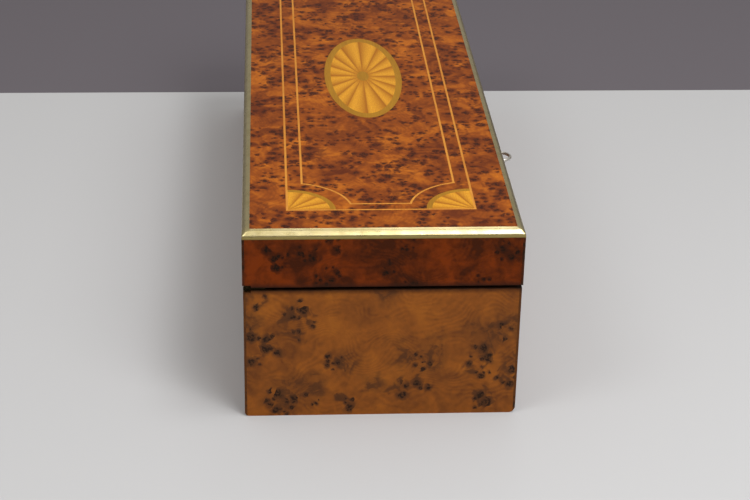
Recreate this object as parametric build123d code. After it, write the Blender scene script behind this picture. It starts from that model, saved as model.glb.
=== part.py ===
from build123d import *
import math
import os

# A long veneered box with a hinged lid, a lock in its front wall and a base that slides out.
# Millimetres. X runs along the box, the lock is at -Y, the hinge at +Y, Z is up.
# The origin is the middle of the underside.

# Overall sizes
LENGTH = 300.0                # lid along X
WIDTH = 100.0                 # lid along Y
HEIGHT = 75.0                 # underside to the top of the lid
LID_HEIGHT = 22.0
JOINT_GAP = 1.2               # open line between lid and body
REVEAL = 0.3                  # lid overhang past the body on every side

# Boards and veneer
WALL = 8.0                    # core of the body's walls
VENEER = 0.9
LID_PANEL = 5.0               # core panel under the lid's veneer
FLOOR = 8.0                   # fixed inner floor
FELT = 1.0
FELT_MARGIN = 0.3
FRONT_EASE = 2.6              # worn bottom arris at the front
BACK_EASE = 1.6               # the same at the back

# Brass edging round the top of the lid
EDGING_WIDTH = 2.8
EDGING_DROP = 3.0
EDGING_CHAMFER = 1.45

# Inlay in the lid's top veneer
STRING = 0.8                  # width of the stringing
STRING_FROM_END = 17.7        # lid's end to the middle of the outer line
STRING_FROM_SIDE = 16.2
INNER_STEP_END = 5.0          # outer line to inner line at the ends
INNER_STEP_SIDE = 5.7
SCOOP_RADIUS = 23.5           # hollow corners of the inner line
FAN_RADIUS = 17.5
FAN_RIM = 2.0
FAN_PETALS = 4
OVAL_LENGTH = 92.0
OVAL_WIDTH = 32.5
OVAL_RIM_END = 4.5
OVAL_RIM_SIDE = 2.65
EYE_LENGTH = 11.0
EYE_WIDTH = 5.0
OVAL_PETALS = 16

# Hidden sliding base
BASE_LIP = 3.0                # wood left under the groove
BASE = 4.0                    # thickness of the sliding panel's tongue
BASE_TONGUE = 3.0             # tongue's reach into each groove
BASE_HEADROOM = 0.3           # over the panel
BASE_SIDE_PLAY = 0.2          # beside the panel
STRIP_PLAY = 0.15             # round the strip on the panel's end
BASE_TRAVEL = 120.0
STOP_DOWEL = 3.0              # diameter
STOP_DOWEL_REACH = 2.0        # into the panel's groove
STOP_DOWEL_HOLD = 5.0         # into the floor
STOP_DOWEL_X = 60.0
STOP_PLAY = 0.2               # round the dowel in its groove
NEST_LENGTH = 44.0            # pocket for the key under the floor
NEST_WIDTH = 16.0
NEST_DEPTH = 5.0
NEST_X = -80.0
NICK_LENGTH = 18.0            # thumb nick under the panel
NICK_WIDTH = 3.0
NICK_DEPTH = 1.2
NICK_FROM_END = 14.0

# Piano hinge
PLATE_GAP = 0.1               # between facing hinge leaves and between facing lock plates
HINGE_PIN = 1.2               # diameter
HINGE_PLAY = 0.05             # pin to knuckle, on the radius
KNUCKLE_WALL = 0.6
KNUCKLES = 15
KNUCKLE_GAP = 0.15
KNUCKLE_PLAY = 0.2            # knuckle to wood and to the other leaf
HINGE_END = 0.6               # hinge set back from the body's ends
LEAF_MARGIN = 1.0             # leaf's edge to the wall's inner face
HINGE_SCREWS = 5              # along each leaf
HINGE_SCREW_END = 25.0        # first screw from the body's end

# Countersunk screws
SCREW = 1.6                   # shank diameter
SCREW_HEAD = 3.0
SCREW_LENGTH = 7.5
LOCK_SCREW_LENGTH = 5.0       # the four that hold the lock's plate
SCREW_TIP = 0.8               # diameter and length of the point
SCREW_SLOT = 0.4
SCREW_SLOT_DEPTH = 0.3
SCREW_PLAY = 0.05
SCREW_SIDES = 8               # flat sides, for few facets
STUD_SIDES = 10               # the same on knuckles, studs and small shafts

# Lock
KEY_DROP = 14.3               # body's top to the key's axis
LOCK_LENGTH = 40.0
LOCK_DROP = 25.0              # body's top to the plate's lower edge
LOCK_PLATE = 1.0
LOCK_SKIN = 1.4               # core left in front of the lock
CAP_LENGTH = 30.0
CAP_WALL = 0.8
CAP_MARGIN = 1.2              # plate's lower edge to the cap
LET_IN = 0.1                  # play round every let-in metal part
SELVEDGE_WIDTH = 7.0
HASP_SPACING = 13.0
HASP = 1.6                    # thickness along X
HASP_WIDTH = 3.2
HASP_DROP = 8.0               # lid's underside to the tip
HASP_EYE_WIDTH = 1.6
HASP_EYE_HEIGHT = 2.4
HASP_EYE_RISE = 0.8           # tip to the eye
HASP_SLOT_PLAY = 0.5
LINK_LENGTH = 28.0
LINK_WIDTH = 6.0
BOLT = 1.2                    # thickness
BOLT_SETBACK = 3.1            # wall's inner face to the middle of the bolt
BOLT_POST = 1.6
BOLT_FINGER = 3.0
BOLT_BAR = 3.4                # height of the bar
BOLT_PLAY = 0.2               # round the finger in its eye and under the hasp
CRANK_RADIUS = 3.2
CRANK_PIN = 1.6
CRANK_PLAY = 0.25
ROTOR_RIM = 0.3               # disc past the crank pin
ROTOR_BOSS = 7.2              # diameter, turns in the cap
ROTOR_STUB = 2.0              # diameter, turns in the plate
TURN_PLAY = 0.05              # running fit on the radius
SIDE_PLAY = 0.1               # between turning and sliding faces
SOCKET_FLOOR = 0.6
GUIDE_STUD = 1.4
GUIDE_COLLAR = 2.6

# Key and keyhole
KEY_SHANK = 2.4
KEY_COLLAR = 4.4
KEY_COLLAR_LENGTH = 1.2
KEY_BIT_REACH = 3.2           # from the key's axis
KEY_BIT = 1.2                 # thickness
KEY_PLAY = 0.1                # key in its socket
KEY_REACH = 15.5              # body's front to the end of the bow
BOW = 9.4                     # outer diameter of the ring
BOW_WIRE = 1.4
KEYHOLE_PLAY = 0.3
ESCUTCHEON = 0.5
ESCUTCHEON_WIDTH = 9.0
ESCUTCHEON_HEIGHT = 15.0
ESCUTCHEON_PIN = 0.9
ESCUTCHEON_PIN_SKIN = 0.4      # wood between the pin's end and the lock
ESCUTCHEON_PIN_INSET = 1.7    # plate's end to the pin

# Heights and half sizes that follow
LID_X = LENGTH / 2
LID_Y = WIDTH / 2
BODY_X = LID_X - REVEAL
BODY_Y = LID_Y - REVEAL
LID_BOTTOM = HEIGHT - LID_HEIGHT
BODY_TOP = LID_BOTTOM - JOINT_GAP
JOINT_MIDDLE = (LID_BOTTOM + BODY_TOP) / 2
INNER_X = BODY_X - VENEER - WALL
INNER_Y = BODY_Y - VENEER - WALL
LID_CORE_X = LID_X - VENEER
LID_CORE_Y = LID_Y - VENEER
LID_WALL = WALL + REVEAL
PANEL_TOP = HEIGHT - VENEER
PANEL_BOTTOM = PANEL_TOP - LID_PANEL
FLOOR_BOTTOM = BASE_LIP + BASE + BASE_HEADROOM
FLOOR_TOP = FLOOR_BOTTOM + FLOOR
PROUD = (JOINT_GAP - PLATE_GAP) / 2

TURN = {"front": 0, "right": 90, "back": 180, "left": 270}


def block(x, y, z):
    """A box between the two ends given for each axis."""
    size = [high - low for low, high in (x, y, z)]
    middle = [(low + high) / 2 for low, high in (x, y, z)]
    return Pos(*middle) * Box(*size)


def rod(radius, start, end, axis="Z", at=(0, 0)):
    """A cylinder along an axis; at gives its place on the two other axes, in X, Y, Z order."""
    length = end - start
    middle = (start + end) / 2
    if axis == "X":
        return Pos(middle, *at) * Rot(0, 90, 0) * Cylinder(radius, length)
    if axis == "Y":
        return Pos(at[0], middle, at[1]) * Rot(90, 0, 0) * Cylinder(radius, length)
    return Pos(at[0], at[1], middle) * Cylinder(radius, length)


def turned(profile, sides):
    """A small turned piece with flat sides, from (radius, height) pairs, the highest first."""
    rings = []
    for radius, height in profile:
        turns = [2 * math.pi * index / sides for index in range(sides)]
        rings.append([(radius * math.cos(turn), radius * math.sin(turn), height) for turn in turns])
    faces = [Face(Wire.make_polygon(ring)) for ring in (rings[0], rings[-1])]
    for upper, lower in zip(rings, rings[1:]):
        for index in range(sides):
            corners = (upper[index - 1], upper[index], lower[index], lower[index - 1])
            faces.append(Face(Wire.make_polygon(corners)))
    return Solid(Shell(faces))


def stud(radius, start, end, axis, at):
    """A flat-sided rod; axis and at as for rod."""
    length = end - start
    piece = Pos(0, 0, -length / 2) * turned([(radius, length), (radius, 0)], STUD_SIDES)
    middle = (start + end) / 2
    if axis == "X":
        return Pos(middle, *at) * Rot(0, 90, 0) * piece
    return Pos(at[0], middle, at[1]) * Rot(90, 0, 0) * piece


def on_side(side, half_x, half_y, make):
    """Makes a front piece from its half length and its distance out, and turns it to a side."""
    long_side = side in ("front", "back")
    half_length, half_offset = (half_x, half_y) if long_side else (half_y, half_x)
    return Rot(0, 0, TURN[side]) * make(half_length, half_offset)


def mitred_bar(half_length, half_offset, thickness, bottom, top):
    outline = Polygon(
        (-half_length, -half_offset),
        (half_length, -half_offset),
        (half_length - thickness, thickness - half_offset),
        (thickness - half_length, thickness - half_offset),
        align=None,
    )
    return extrude(Pos(0, 0, bottom) * outline, top - bottom)


def mitred_side(side, half_x, half_y, thickness, bottom, top):
    def make(half_length, half_offset):
        return mitred_bar(half_length, half_offset, thickness, bottom, top)

    return on_side(side, half_x, half_y, make)


def side_veneer(side, half_x, half_y, bottom, top):
    """The long veneers run through and cover the ends of the short ones."""
    covered = 0 if side in ("front", "back") else VENEER

    def make(half_length, half_offset):
        run = half_length - covered
        return block((-run, run), (-half_offset, VENEER - half_offset), (bottom, top))

    return on_side(side, half_x, half_y, make)


# ------------------------------------------------------------------ screws

def screw(length, play=0.0):
    """A countersunk screw, head up at Z = 0, or the hole that it fits with play."""
    head = SCREW_HEAD / 2 + play
    shank = SCREW / 2 + play
    tip = (SCREW_TIP / 2 + play, -length - play)
    profile = [(head, play), (head, 0), (shank, shank - head), (shank, SCREW_TIP - length), tip]
    if play:
        return turned(profile, SCREW_SIDES)
    slot = block((-SCREW_HEAD, SCREW_HEAD), (-SCREW_SLOT / 2, SCREW_SLOT / 2), (-SCREW_SLOT_DEPTH, 1))
    return turned(profile[1:], SCREW_SIDES) - slot


def screws_at(places, length):
    return [place * screw(length) for place in places]


def screw_holes(part, places, length):
    for place in places:
        part -= place * screw(length, SCREW_PLAY)
    return part


# ------------------------------------------------------------------ piano hinge

BARREL = HINGE_PIN / 2 + HINGE_PLAY + KNUCKLE_WALL        # radius
HINGE_Y = BODY_Y - BARREL
HINGE_HALF = BODY_X - HINGE_END
LEAF_EDGE = INNER_Y + LEAF_MARGIN
LEAF_BACK = HINGE_Y - BARREL - KNUCKLE_PLAY
SCREW_LINE = (LEAF_EDGE + LEAF_BACK) / 2


def barrel_rebate():
    """The room for the barrel, cut from the back edges of body and lid."""
    reach = BARREL + KNUCKLE_PLAY
    return block(
        (-LENGTH, LENGTH),
        (HINGE_Y - reach, WIDTH),
        (JOINT_MIDDLE - reach, JOINT_MIDDLE + reach),
    )


def hinge_screw_places(upward):
    first = HINGE_SCREW_END - BODY_X
    step = -2 * first / (HINGE_SCREWS - 1)
    top = BODY_TOP + PROUD
    for index in range(HINGE_SCREWS):
        x = first + index * step
        if upward:
            yield Pos(x, SCREW_LINE, LID_BOTTOM - PROUD) * Rot(180, 0, 0)
        else:
            yield Pos(x, SCREW_LINE, top)


def hinge_leaf(first_knuckle):
    """The body's leaf: a plate with every second knuckle. The lid's leaf is its mirror image."""
    low, high = BODY_TOP, BODY_TOP + PROUD
    leaf = block((-HINGE_HALF, HINGE_HALF), (LEAF_EDGE, LEAF_BACK), (low, high))
    pitch = 2 * HINGE_HALF / KNUCKLES
    bore = HINGE_PIN / 2 + HINGE_PLAY
    for index in range(first_knuckle, KNUCKLES, 2):
        start = index * pitch - HINGE_HALF + KNUCKLE_GAP / 2
        end = start + pitch - KNUCKLE_GAP
        root = block((start, end), (LEAF_BACK, HINGE_Y - bore), (low, high))
        leaf += root + stud(BARREL, start, end, "X", (HINGE_Y, JOINT_MIDDLE))
    return leaf - stud(bore, -LENGTH, LENGTH, "X", (HINGE_Y, JOINT_MIDDLE))


def hinge_body_leaf():
    return screw_holes(hinge_leaf(0), hinge_screw_places(False), SCREW_LENGTH)


def hinge_lid_leaf():
    joint = Plane.XY.offset(JOINT_MIDDLE)
    return screw_holes(mirror(hinge_leaf(1), about=joint), hinge_screw_places(True), SCREW_LENGTH)


def hinge_pin():
    return stud(HINGE_PIN / 2, -HINGE_HALF, HINGE_HALF, "X", (HINGE_Y, JOINT_MIDDLE))


# ------------------------------------------------------------------ lock

KEY_Z = BODY_TOP - KEY_DROP
WALL_FACE = -INNER_Y                                      # inner face of the front wall
PLATE_FRONT = WALL_FACE - LOCK_PLATE
CAP_FRONT = WALL_FACE - (WALL - LOCK_SKIN)
CAP_INSIDE = CAP_FRONT + CAP_WALL
CAP_BOTTOM = BODY_TOP - LOCK_DROP + CAP_MARGIN
SELVEDGE_TOP = BODY_TOP + PROUD
SELVEDGE_BOTTOM = SELVEDGE_TOP - LOCK_PLATE
BOLT_Y = WALL_FACE - BOLT_SETBACK
BOLT_FRONT = BOLT_Y - BOLT / 2
BOLT_BACK = BOLT_Y + BOLT / 2
HASP_TIP = LID_BOTTOM - HASP_DROP
EYE_MIDDLE = HASP_TIP + HASP_EYE_RISE + HASP_EYE_HEIGHT / 2
BAR_TOP = HASP_TIP - BOLT_PLAY
BAR_BOTTOM = BAR_TOP - BOLT_BAR
BOLT_THROW = CRANK_RADIUS * math.sqrt(2)                  # a quarter turn, 45 degrees each side of the top
ROTOR_BACK = BOLT_FRONT - SIDE_PLAY
ROTOR_FRONT = CAP_INSIDE + SIDE_PLAY
BOSS_FRONT = CAP_FRONT + TURN_PLAY
KEY_TIP = ROTOR_BACK - SOCKET_FLOOR - SIDE_PLAY
GUIDE_X = (-BOLT_THROW * 1.5, BOLT_THROW * 0.5)
GUIDE_Z = (BAR_TOP + BAR_BOTTOM) / 2 + BOLT_PLAY
HASP_X = (-HASP_SPACING / 2, HASP_SPACING / 2)


def selvedge_screw_places():
    x = (LOCK_LENGTH + CAP_LENGTH) / 4
    y = WALL_FACE - SELVEDGE_WIDTH / 2
    return [Pos(side * x, y, SELVEDGE_TOP) for side in (-1, 1)]


def plate_screw_places():
    x = (LOCK_LENGTH + CAP_LENGTH) / 4
    heights = (KEY_Z + SCREW_HEAD, BODY_TOP - LOCK_DROP + SCREW_HEAD)
    return [Pos(side * x, WALL_FACE, z) * Rot(-90, 0, 0) for side in (-1, 1) for z in heights]


def lock_plate():
    """The brass angle seen when the box is open, with two studs that guide the bolt."""
    half = LOCK_LENGTH / 2
    upright = block((-half, half), (PLATE_FRONT, WALL_FACE), (BODY_TOP - LOCK_DROP, SELVEDGE_TOP))
    selvedge = block((-half, half), (WALL_FACE - SELVEDGE_WIDTH, WALL_FACE), (SELVEDGE_BOTTOM, SELVEDGE_TOP))
    plate = upright + selvedge
    for x in HASP_X:
        plate -= block(
            (x - HASP / 2 - HASP_SLOT_PLAY, x + HASP / 2 + HASP_SLOT_PLAY),
            (BOLT_Y - HASP_WIDTH / 2 - HASP_SLOT_PLAY, BOLT_Y + HASP_WIDTH / 2 + HASP_SLOT_PLAY),
            (SELVEDGE_BOTTOM - 1, SELVEDGE_TOP + 1),
        )
    for x in GUIDE_X:
        plate += stud(GUIDE_COLLAR / 2, BOLT_BACK + SIDE_PLAY, PLATE_FRONT, "Y", (x, GUIDE_Z))
        plate += stud(GUIDE_STUD / 2, BOLT_FRONT - SIDE_PLAY, PLATE_FRONT, "Y", (x, GUIDE_Z))
    plate -= rod(ROTOR_STUB / 2 + TURN_PLAY, PLATE_FRONT - 1, WALL_FACE + 1, "Y", (0, KEY_Z))
    plate = screw_holes(plate, selvedge_screw_places(), SCREW_LENGTH)
    return screw_holes(plate, plate_screw_places(), LOCK_SCREW_LENGTH)


def lock_cap():
    """The tray that covers the bolt on the side towards the wood."""
    half = CAP_LENGTH / 2
    tray = block((-half, half), (CAP_FRONT, PLATE_FRONT), (CAP_BOTTOM, SELVEDGE_BOTTOM))
    tray -= block(
        (CAP_WALL - half, half - CAP_WALL),
        (CAP_INSIDE, PLATE_FRONT),
        (CAP_BOTTOM + CAP_WALL, SELVEDGE_BOTTOM),
    )
    return tray - rod(ROTOR_BOSS / 2 + TURN_PLAY, CAP_FRONT - 1, CAP_INSIDE + 1, "Y", (0, KEY_Z))


def lock_mortise():
    """What the front wall loses to the lock."""
    half = LOCK_LENGTH / 2 + LET_IN
    cap = CAP_LENGTH / 2 + LET_IN
    recess = block((-half, half), (PLATE_FRONT, 0), (BODY_TOP - LOCK_DROP - LET_IN, HEIGHT))
    recess += block(
        (-half, half), (WALL_FACE - SELVEDGE_WIDTH - LET_IN, 0), (SELVEDGE_BOTTOM, HEIGHT)
    )
    return recess + block((-cap, cap), (CAP_FRONT, 0), (CAP_BOTTOM - LET_IN, HEIGHT))


def lock_bolt():
    """Drawn back: two fingers that point along +X, a bar on two guides and a forked tail."""
    y = (BOLT_FRONT, BOLT_BACK)
    finger = (HASP_EYE_HEIGHT / 2) - BOLT_PLAY
    bolt = None
    for x in HASP_X:
        post = x - HASP / 2 - 2 * BOLT_PLAY - BOLT_THROW
        upright = block((post - BOLT_POST, post), y, (BAR_BOTTOM, EYE_MIDDLE + finger))
        tongue = block((post, post + BOLT_FINGER), y, (EYE_MIDDLE - finger, EYE_MIDDLE + finger))
        bolt = upright + tongue if bolt is None else bolt + upright + tongue
        bar_start = post - BOLT_POST if x < 0 else bar_start
    bar_end = GUIDE_X[1] + 2 * GUIDE_STUD
    bolt += block((bar_start, bar_end), y, (BAR_BOTTOM, BAR_TOP))
    fork = CRANK_PIN / 2 + CRANK_PLAY
    fork_x = -BOLT_THROW / 2
    tail_bottom = KEY_Z + ROTOR_STUB / 2 + BOLT_PLAY
    bolt += block((fork_x - fork - BOLT_POST, fork_x + fork + BOLT_POST), y, (tail_bottom, BAR_BOTTOM))
    slot_top = KEY_Z + CRANK_RADIUS + fork
    bolt -= block((fork_x - fork, fork_x + fork), y, (KEY_Z, slot_top))
    for x in GUIDE_X:
        reach = GUIDE_STUD / 2 + TURN_PLAY
        bolt -= block((x - BOLT_THROW - reach, x + reach), y, (GUIDE_Z - reach, GUIDE_Z + reach))
    return bolt


def key_section(play):
    """Shank and bit seen along the key, on the XZ plane, the bit towards +X."""
    shank = Circle(KEY_SHANK / 2 + play)
    reach = KEY_BIT_REACH + play
    bit = Pos(reach / 2, 0) * Rectangle(reach, KEY_BIT + 2 * play)
    return shank + bit


def along_key(section, start, end):
    return Pos(0, end, KEY_Z) * extrude(Plane.XZ * section, end - start)


def lock_rotor():
    """Turned by the key; its crank pin works in the bolt's fork."""
    crank = CRANK_RADIUS / math.sqrt(2)
    disc = CRANK_RADIUS + CRANK_PIN / 2 + ROTOR_RIM
    rotor = rod(disc, ROTOR_FRONT, ROTOR_BACK, "Y", (0, KEY_Z))
    rotor += rod(ROTOR_BOSS / 2, BOSS_FRONT, ROTOR_FRONT, "Y", (0, KEY_Z))
    rotor += stud(ROTOR_STUB / 2, ROTOR_BACK, WALL_FACE - TURN_PLAY, "Y", (0, KEY_Z))
    rotor += stud(CRANK_PIN / 2, ROTOR_BACK, BOLT_BACK + SIDE_PLAY / 2, "Y", (-crank, KEY_Z + crank))
    return rotor - along_key(key_section(KEY_PLAY), CAP_FRONT - 1, KEY_TIP + SIDE_PLAY)


def key():
    """Lying with its ring flat, as it does when the lock is open."""
    bow_y = KEY_REACH + BODY_Y - BOW / 2
    ring = (BOW - BOW_WIRE) / 2
    collar_start = BODY_Y + ESCUTCHEON + KEYHOLE_PLAY
    shank = stud(KEY_SHANK / 2, BOW / 2 - BOW_WIRE / 3 - bow_y, KEY_TIP, "Y", (0, KEY_Z))
    bit = along_key(key_section(0), BOSS_FRONT + SIDE_PLAY, KEY_TIP)
    collar = stud(KEY_COLLAR / 2, -collar_start - KEY_COLLAR_LENGTH, -collar_start, "Y", (0, KEY_Z))
    wire = Pos(ring, 0) * RegularPolygon(BOW_WIRE / 2, 6)
    bow = Pos(0, -bow_y, KEY_Z) * revolve(Plane.XZ * wire, Axis.Z)
    return shank + bit + collar + bow


def keyhole():
    """A round hole with a slot below it, cut through wood, veneer and escutcheon."""
    width = KEY_BIT + 2 * KEYHOLE_PLAY
    reach = KEY_BIT_REACH + KEYHOLE_PLAY
    outline = Circle(KEY_SHANK / 2 + KEYHOLE_PLAY) + Pos(0, -reach / 2) * Rectangle(width, reach)
    return along_key(outline, -WIDTH, CAP_FRONT + 1)


def escutcheon_middle():
    return KEY_Z - KEY_BIT_REACH / 2


def escutcheon_pin_places():
    rise = ESCUTCHEON_HEIGHT / 2 - ESCUTCHEON_PIN_INSET
    return [escutcheon_middle() + side * rise for side in (-1, 1)]


def escutcheon_pins():
    start, end = -BODY_Y - ESCUTCHEON, CAP_FRONT - ESCUTCHEON_PIN_SKIN
    return [stud(ESCUTCHEON_PIN / 2, start, end, "Y", (0, z)) for z in escutcheon_pin_places()]


def escutcheon():
    oval = Ellipse(ESCUTCHEON_WIDTH / 2, ESCUTCHEON_HEIGHT / 2)
    plate = Pos(0, -BODY_Y, escutcheon_middle()) * extrude(Plane.XZ * oval, ESCUTCHEON)
    for pin in escutcheon_pins():
        plate -= pin
    return plate - keyhole()


def link_screw_places():
    x = (LINK_LENGTH + HASP_SPACING + HASP) / 4
    return [Pos(side * x, BOLT_Y, LID_BOTTOM - PROUD) * Rot(180, 0, 0) for side in (-1, 1)]


def link_recess(play):
    half = LINK_LENGTH / 2 + play
    width = LINK_WIDTH / 2 + play
    bottom = LID_BOTTOM - PROUD
    return block((-half, half), (BOLT_Y - width, BOLT_Y + width), (bottom, bottom + LOCK_PLATE))


def link_plate():
    """The lid's half of the lock: a plate with two hasps that the bolt passes through."""
    plate = link_recess(0)
    y = (BOLT_Y - HASP_WIDTH / 2, BOLT_Y + HASP_WIDTH / 2)
    eye_y = (BOLT_Y - HASP_EYE_WIDTH / 2, BOLT_Y + HASP_EYE_WIDTH / 2)
    eye_z = (EYE_MIDDLE - HASP_EYE_HEIGHT / 2, EYE_MIDDLE + HASP_EYE_HEIGHT / 2)
    for x in HASP_X:
        across = (x - HASP / 2, x + HASP / 2)
        plate += block(across, y, (HASP_TIP, LID_BOTTOM - PROUD)) - block(across, eye_y, eye_z)
    return screw_holes(plate, link_screw_places(), SCREW_LENGTH)


# ------------------------------------------------------------------ sliding base

STRIP_X = BODY_X - VENEER - WALL
GROOVE = BASE_TONGUE + BASE_SIDE_PLAY


def base_groove():
    """The panel's way through both long walls, the hidden end and the open end."""
    return block((-INNER_X - GROOVE, LENGTH), (-INNER_Y - GROOVE, INNER_Y + GROOVE), (BASE_LIP, FLOOR_BOTTOM))


def sliding_base():
    """Flush with the walls' underside; slides out along +X until a dowel stops it in its groove."""
    tongue = INNER_Y + BASE_TONGUE
    field_x = BASE_SIDE_PLAY - INNER_X
    field_y = INNER_Y - BASE_SIDE_PLAY
    panel = block((-INNER_X - BASE_TONGUE, STRIP_X), (-tongue, tongue), (BASE_LIP, BASE_LIP + BASE))
    panel += block((field_x, STRIP_X), (-field_y, field_y), (0, BASE_LIP))
    width = STOP_DOWEL + 2 * STOP_PLAY
    run = Pos(STOP_DOWEL_X - BASE_TRAVEL / 2, 0, BASE_LIP + BASE)
    depth = STOP_DOWEL_REACH - BASE_HEADROOM + STOP_PLAY
    panel -= extrude(run * SlotCenterToCenter(BASE_TRAVEL, width), -depth)
    nick = Pos(STRIP_X - NICK_FROM_END, 0) * Rot(0, 0, 90) * SlotOverall(NICK_LENGTH, NICK_WIDTH)
    return panel - extrude(nick, NICK_DEPTH)


def strip_height():
    return FLOOR_BOTTOM - STRIP_PLAY


def base_end_strip():
    """Closes the right end below the fixed wall and travels with the panel."""
    half_y = BODY_Y - VENEER - STRIP_PLAY

    def make(half_length, half_offset):
        return mitred_bar(half_y, half_offset, WALL, 0, strip_height())

    return eased(on_side("right", BODY_X - VENEER, half_y, make))


def base_strip_veneer():
    half_y = BODY_Y - VENEER - STRIP_PLAY
    return eased(block((BODY_X - VENEER, BODY_X), (-half_y, half_y), (0, strip_height())))


# ------------------------------------------------------------------ body

def body_form():
    """The body's outside, with its two long bottom arrises worn round."""
    section = Pos(0, BODY_TOP / 2) * Rectangle(2 * BODY_Y, BODY_TOP)
    front = section.vertices().group_by(Axis.Y)[0].sort_by(Axis.X)[0]
    section = fillet(front, FRONT_EASE)
    back = section.vertices().group_by(Axis.Y)[0].sort_by(Axis.X)[-1]
    section = fillet(back, BACK_EASE)
    return extrude(Plane.YZ * section, LENGTH, both=True)


def eased(part):
    return part & body_form()


def body_wall(side):
    bottom = FLOOR_BOTTOM if side == "right" else 0
    wall = mitred_side(side, BODY_X - VENEER, BODY_Y - VENEER, WALL, bottom, BODY_TOP)
    if side != "right":
        wall -= base_groove()
    if side == "front":
        wall -= lock_mortise() + keyhole()
        wall = screw_holes(wall, selvedge_screw_places(), SCREW_LENGTH)
        wall = screw_holes(wall, plate_screw_places(), LOCK_SCREW_LENGTH)
        for pin in escutcheon_pins():
            wall -= pin
    else:
        wall -= barrel_rebate()
    if side == "back":
        wall = screw_holes(wall, hinge_screw_places(False), SCREW_LENGTH)
    return eased(wall)


def body_veneer(side):
    bottom = FLOOR_BOTTOM if side == "right" else 0
    veneer = side_veneer(side, BODY_X, BODY_Y, bottom, BODY_TOP)
    if side == "front":
        veneer -= keyhole()
        for pin in escutcheon_pins():
            veneer -= pin
    else:
        veneer -= barrel_rebate()
    return eased(veneer)


def floor_board():
    board = block((-INNER_X, INNER_X), (-INNER_Y, INNER_Y), (FLOOR_BOTTOM, FLOOR_TOP))
    nest = Pos(NEST_X, 0, FLOOR_BOTTOM) * SlotOverall(NEST_LENGTH, NEST_WIDTH)
    board -= extrude(nest, NEST_DEPTH)
    return board - stop_dowel()


def stop_dowel():
    bottom = FLOOR_BOTTOM - STOP_DOWEL_REACH
    return rod(STOP_DOWEL / 2, bottom, FLOOR_BOTTOM + STOP_DOWEL_HOLD, "Z", (STOP_DOWEL_X, 0))


def felt(bottom):
    half_x = INNER_X - FELT_MARGIN
    half_y = INNER_Y - FELT_MARGIN
    return block((-half_x, half_x), (-half_y, half_y), (bottom, bottom + FELT))


# ------------------------------------------------------------------ lid

def lid_rail(side):
    rail = mitred_side(side, LID_CORE_X, LID_CORE_Y, LID_WALL, LID_BOTTOM, PANEL_BOTTOM)
    if side == "front":
        return screw_holes(rail - link_recess(LET_IN), link_screw_places(), SCREW_LENGTH)
    rail -= barrel_rebate()
    if side == "back":
        rail = screw_holes(rail, hinge_screw_places(True), SCREW_LENGTH)
    return rail


def lid_veneer(side):
    veneer = side_veneer(side, LID_X, LID_Y, LID_BOTTOM, HEIGHT - EDGING_DROP)
    return veneer if side == "front" else veneer - barrel_rebate()


def lid_panel():
    """The core of the lid's top, rebated all round for the brass."""
    inset_x = LID_X - EDGING_WIDTH
    inset_y = LID_Y - EDGING_WIDTH
    lower = block((-LID_CORE_X, LID_CORE_X), (-LID_CORE_Y, LID_CORE_Y), (PANEL_BOTTOM, HEIGHT - EDGING_DROP))
    return lower + block((-inset_x, inset_x), (-inset_y, inset_y), (HEIGHT - EDGING_DROP, PANEL_TOP))


def edging(side):
    """A brass bar with its outer arris taken off, mitred at both ends."""
    low = HEIGHT - EDGING_DROP

    def make(half_length, half_offset):
        section = Polygon(
            (-half_offset, low),
            (-half_offset, HEIGHT - EDGING_CHAMFER),
            (EDGING_CHAMFER - half_offset, HEIGHT),
            (EDGING_WIDTH - half_offset, HEIGHT),
            (EDGING_WIDTH - half_offset, low),
            align=None,
        )
        bar = extrude(Plane.YZ * section, half_length, both=True)
        return bar & mitred_bar(half_length, half_offset, EDGING_WIDTH, low, HEIGHT)

    return on_side(side, LID_X, LID_Y, make)


# ------------------------------------------------------------------ inlay

LINE_X = LID_X - STRING_FROM_END
LINE_Y = LID_Y - STRING_FROM_SIDE
INNER_LINE_X = LINE_X - INNER_STEP_END
INNER_LINE_Y = LINE_Y - INNER_STEP_SIDE
CORNERS = [(x, y) for x in (-LINE_X, LINE_X) for y in (-LINE_Y, LINE_Y)]


def inlaid(outline):
    """A piece of the top veneer, through its whole thickness."""
    return extrude(Pos(0, 0, PANEL_TOP) * outline, VENEER)


def inlaid_pieces(outlines):
    return [inlaid(outline) for outline in outlines]


def rectangle(half_x, half_y):
    return Rectangle(2 * half_x, 2 * half_y)


def corner_discs(radius):
    discs = Sketch()
    for corner in CORNERS:
        discs += Pos(*corner) * Circle(radius)
    return discs


def inside_outer_line():
    return rectangle(LINE_X - STRING / 2, LINE_Y - STRING / 2)


def scooped(grow):
    """The inner line's middle, moved outwards by grow: a rectangle with hollow corners."""
    return rectangle(INNER_LINE_X + grow, INNER_LINE_Y + grow) - corner_discs(SCOOP_RADIUS - grow)


def lid_border_veneer():
    whole = rectangle(LID_X - EDGING_WIDTH, LID_Y - EDGING_WIDTH)
    return inlaid(whole - rectangle(LINE_X + STRING / 2, LINE_Y + STRING / 2))


def lid_band_veneer():
    return inlaid(inside_outer_line() - scooped(STRING / 2) - corner_discs(FAN_RADIUS))


def lid_field_veneer():
    return inlaid(scooped(-STRING / 2) - oval(0))


def outer_stringing():
    half_x = LINE_X + STRING / 2
    half_y = LINE_Y + STRING / 2
    return [mitred_side(side, half_x, half_y, STRING, PANEL_TOP, HEIGHT) for side in TURN]


def inner_stringing():
    """Four straight lines and the four arcs that they run into."""
    line = scooped(STRING / 2) - scooped(-STRING / 2)
    straights = line - corner_discs(SCOOP_RADIUS + STRING / 2)
    arcs = line & corner_discs(SCOOP_RADIUS + STRING / 2)
    return inlaid_pieces(list(straights.faces()) + list(arcs.faces()))


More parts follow.
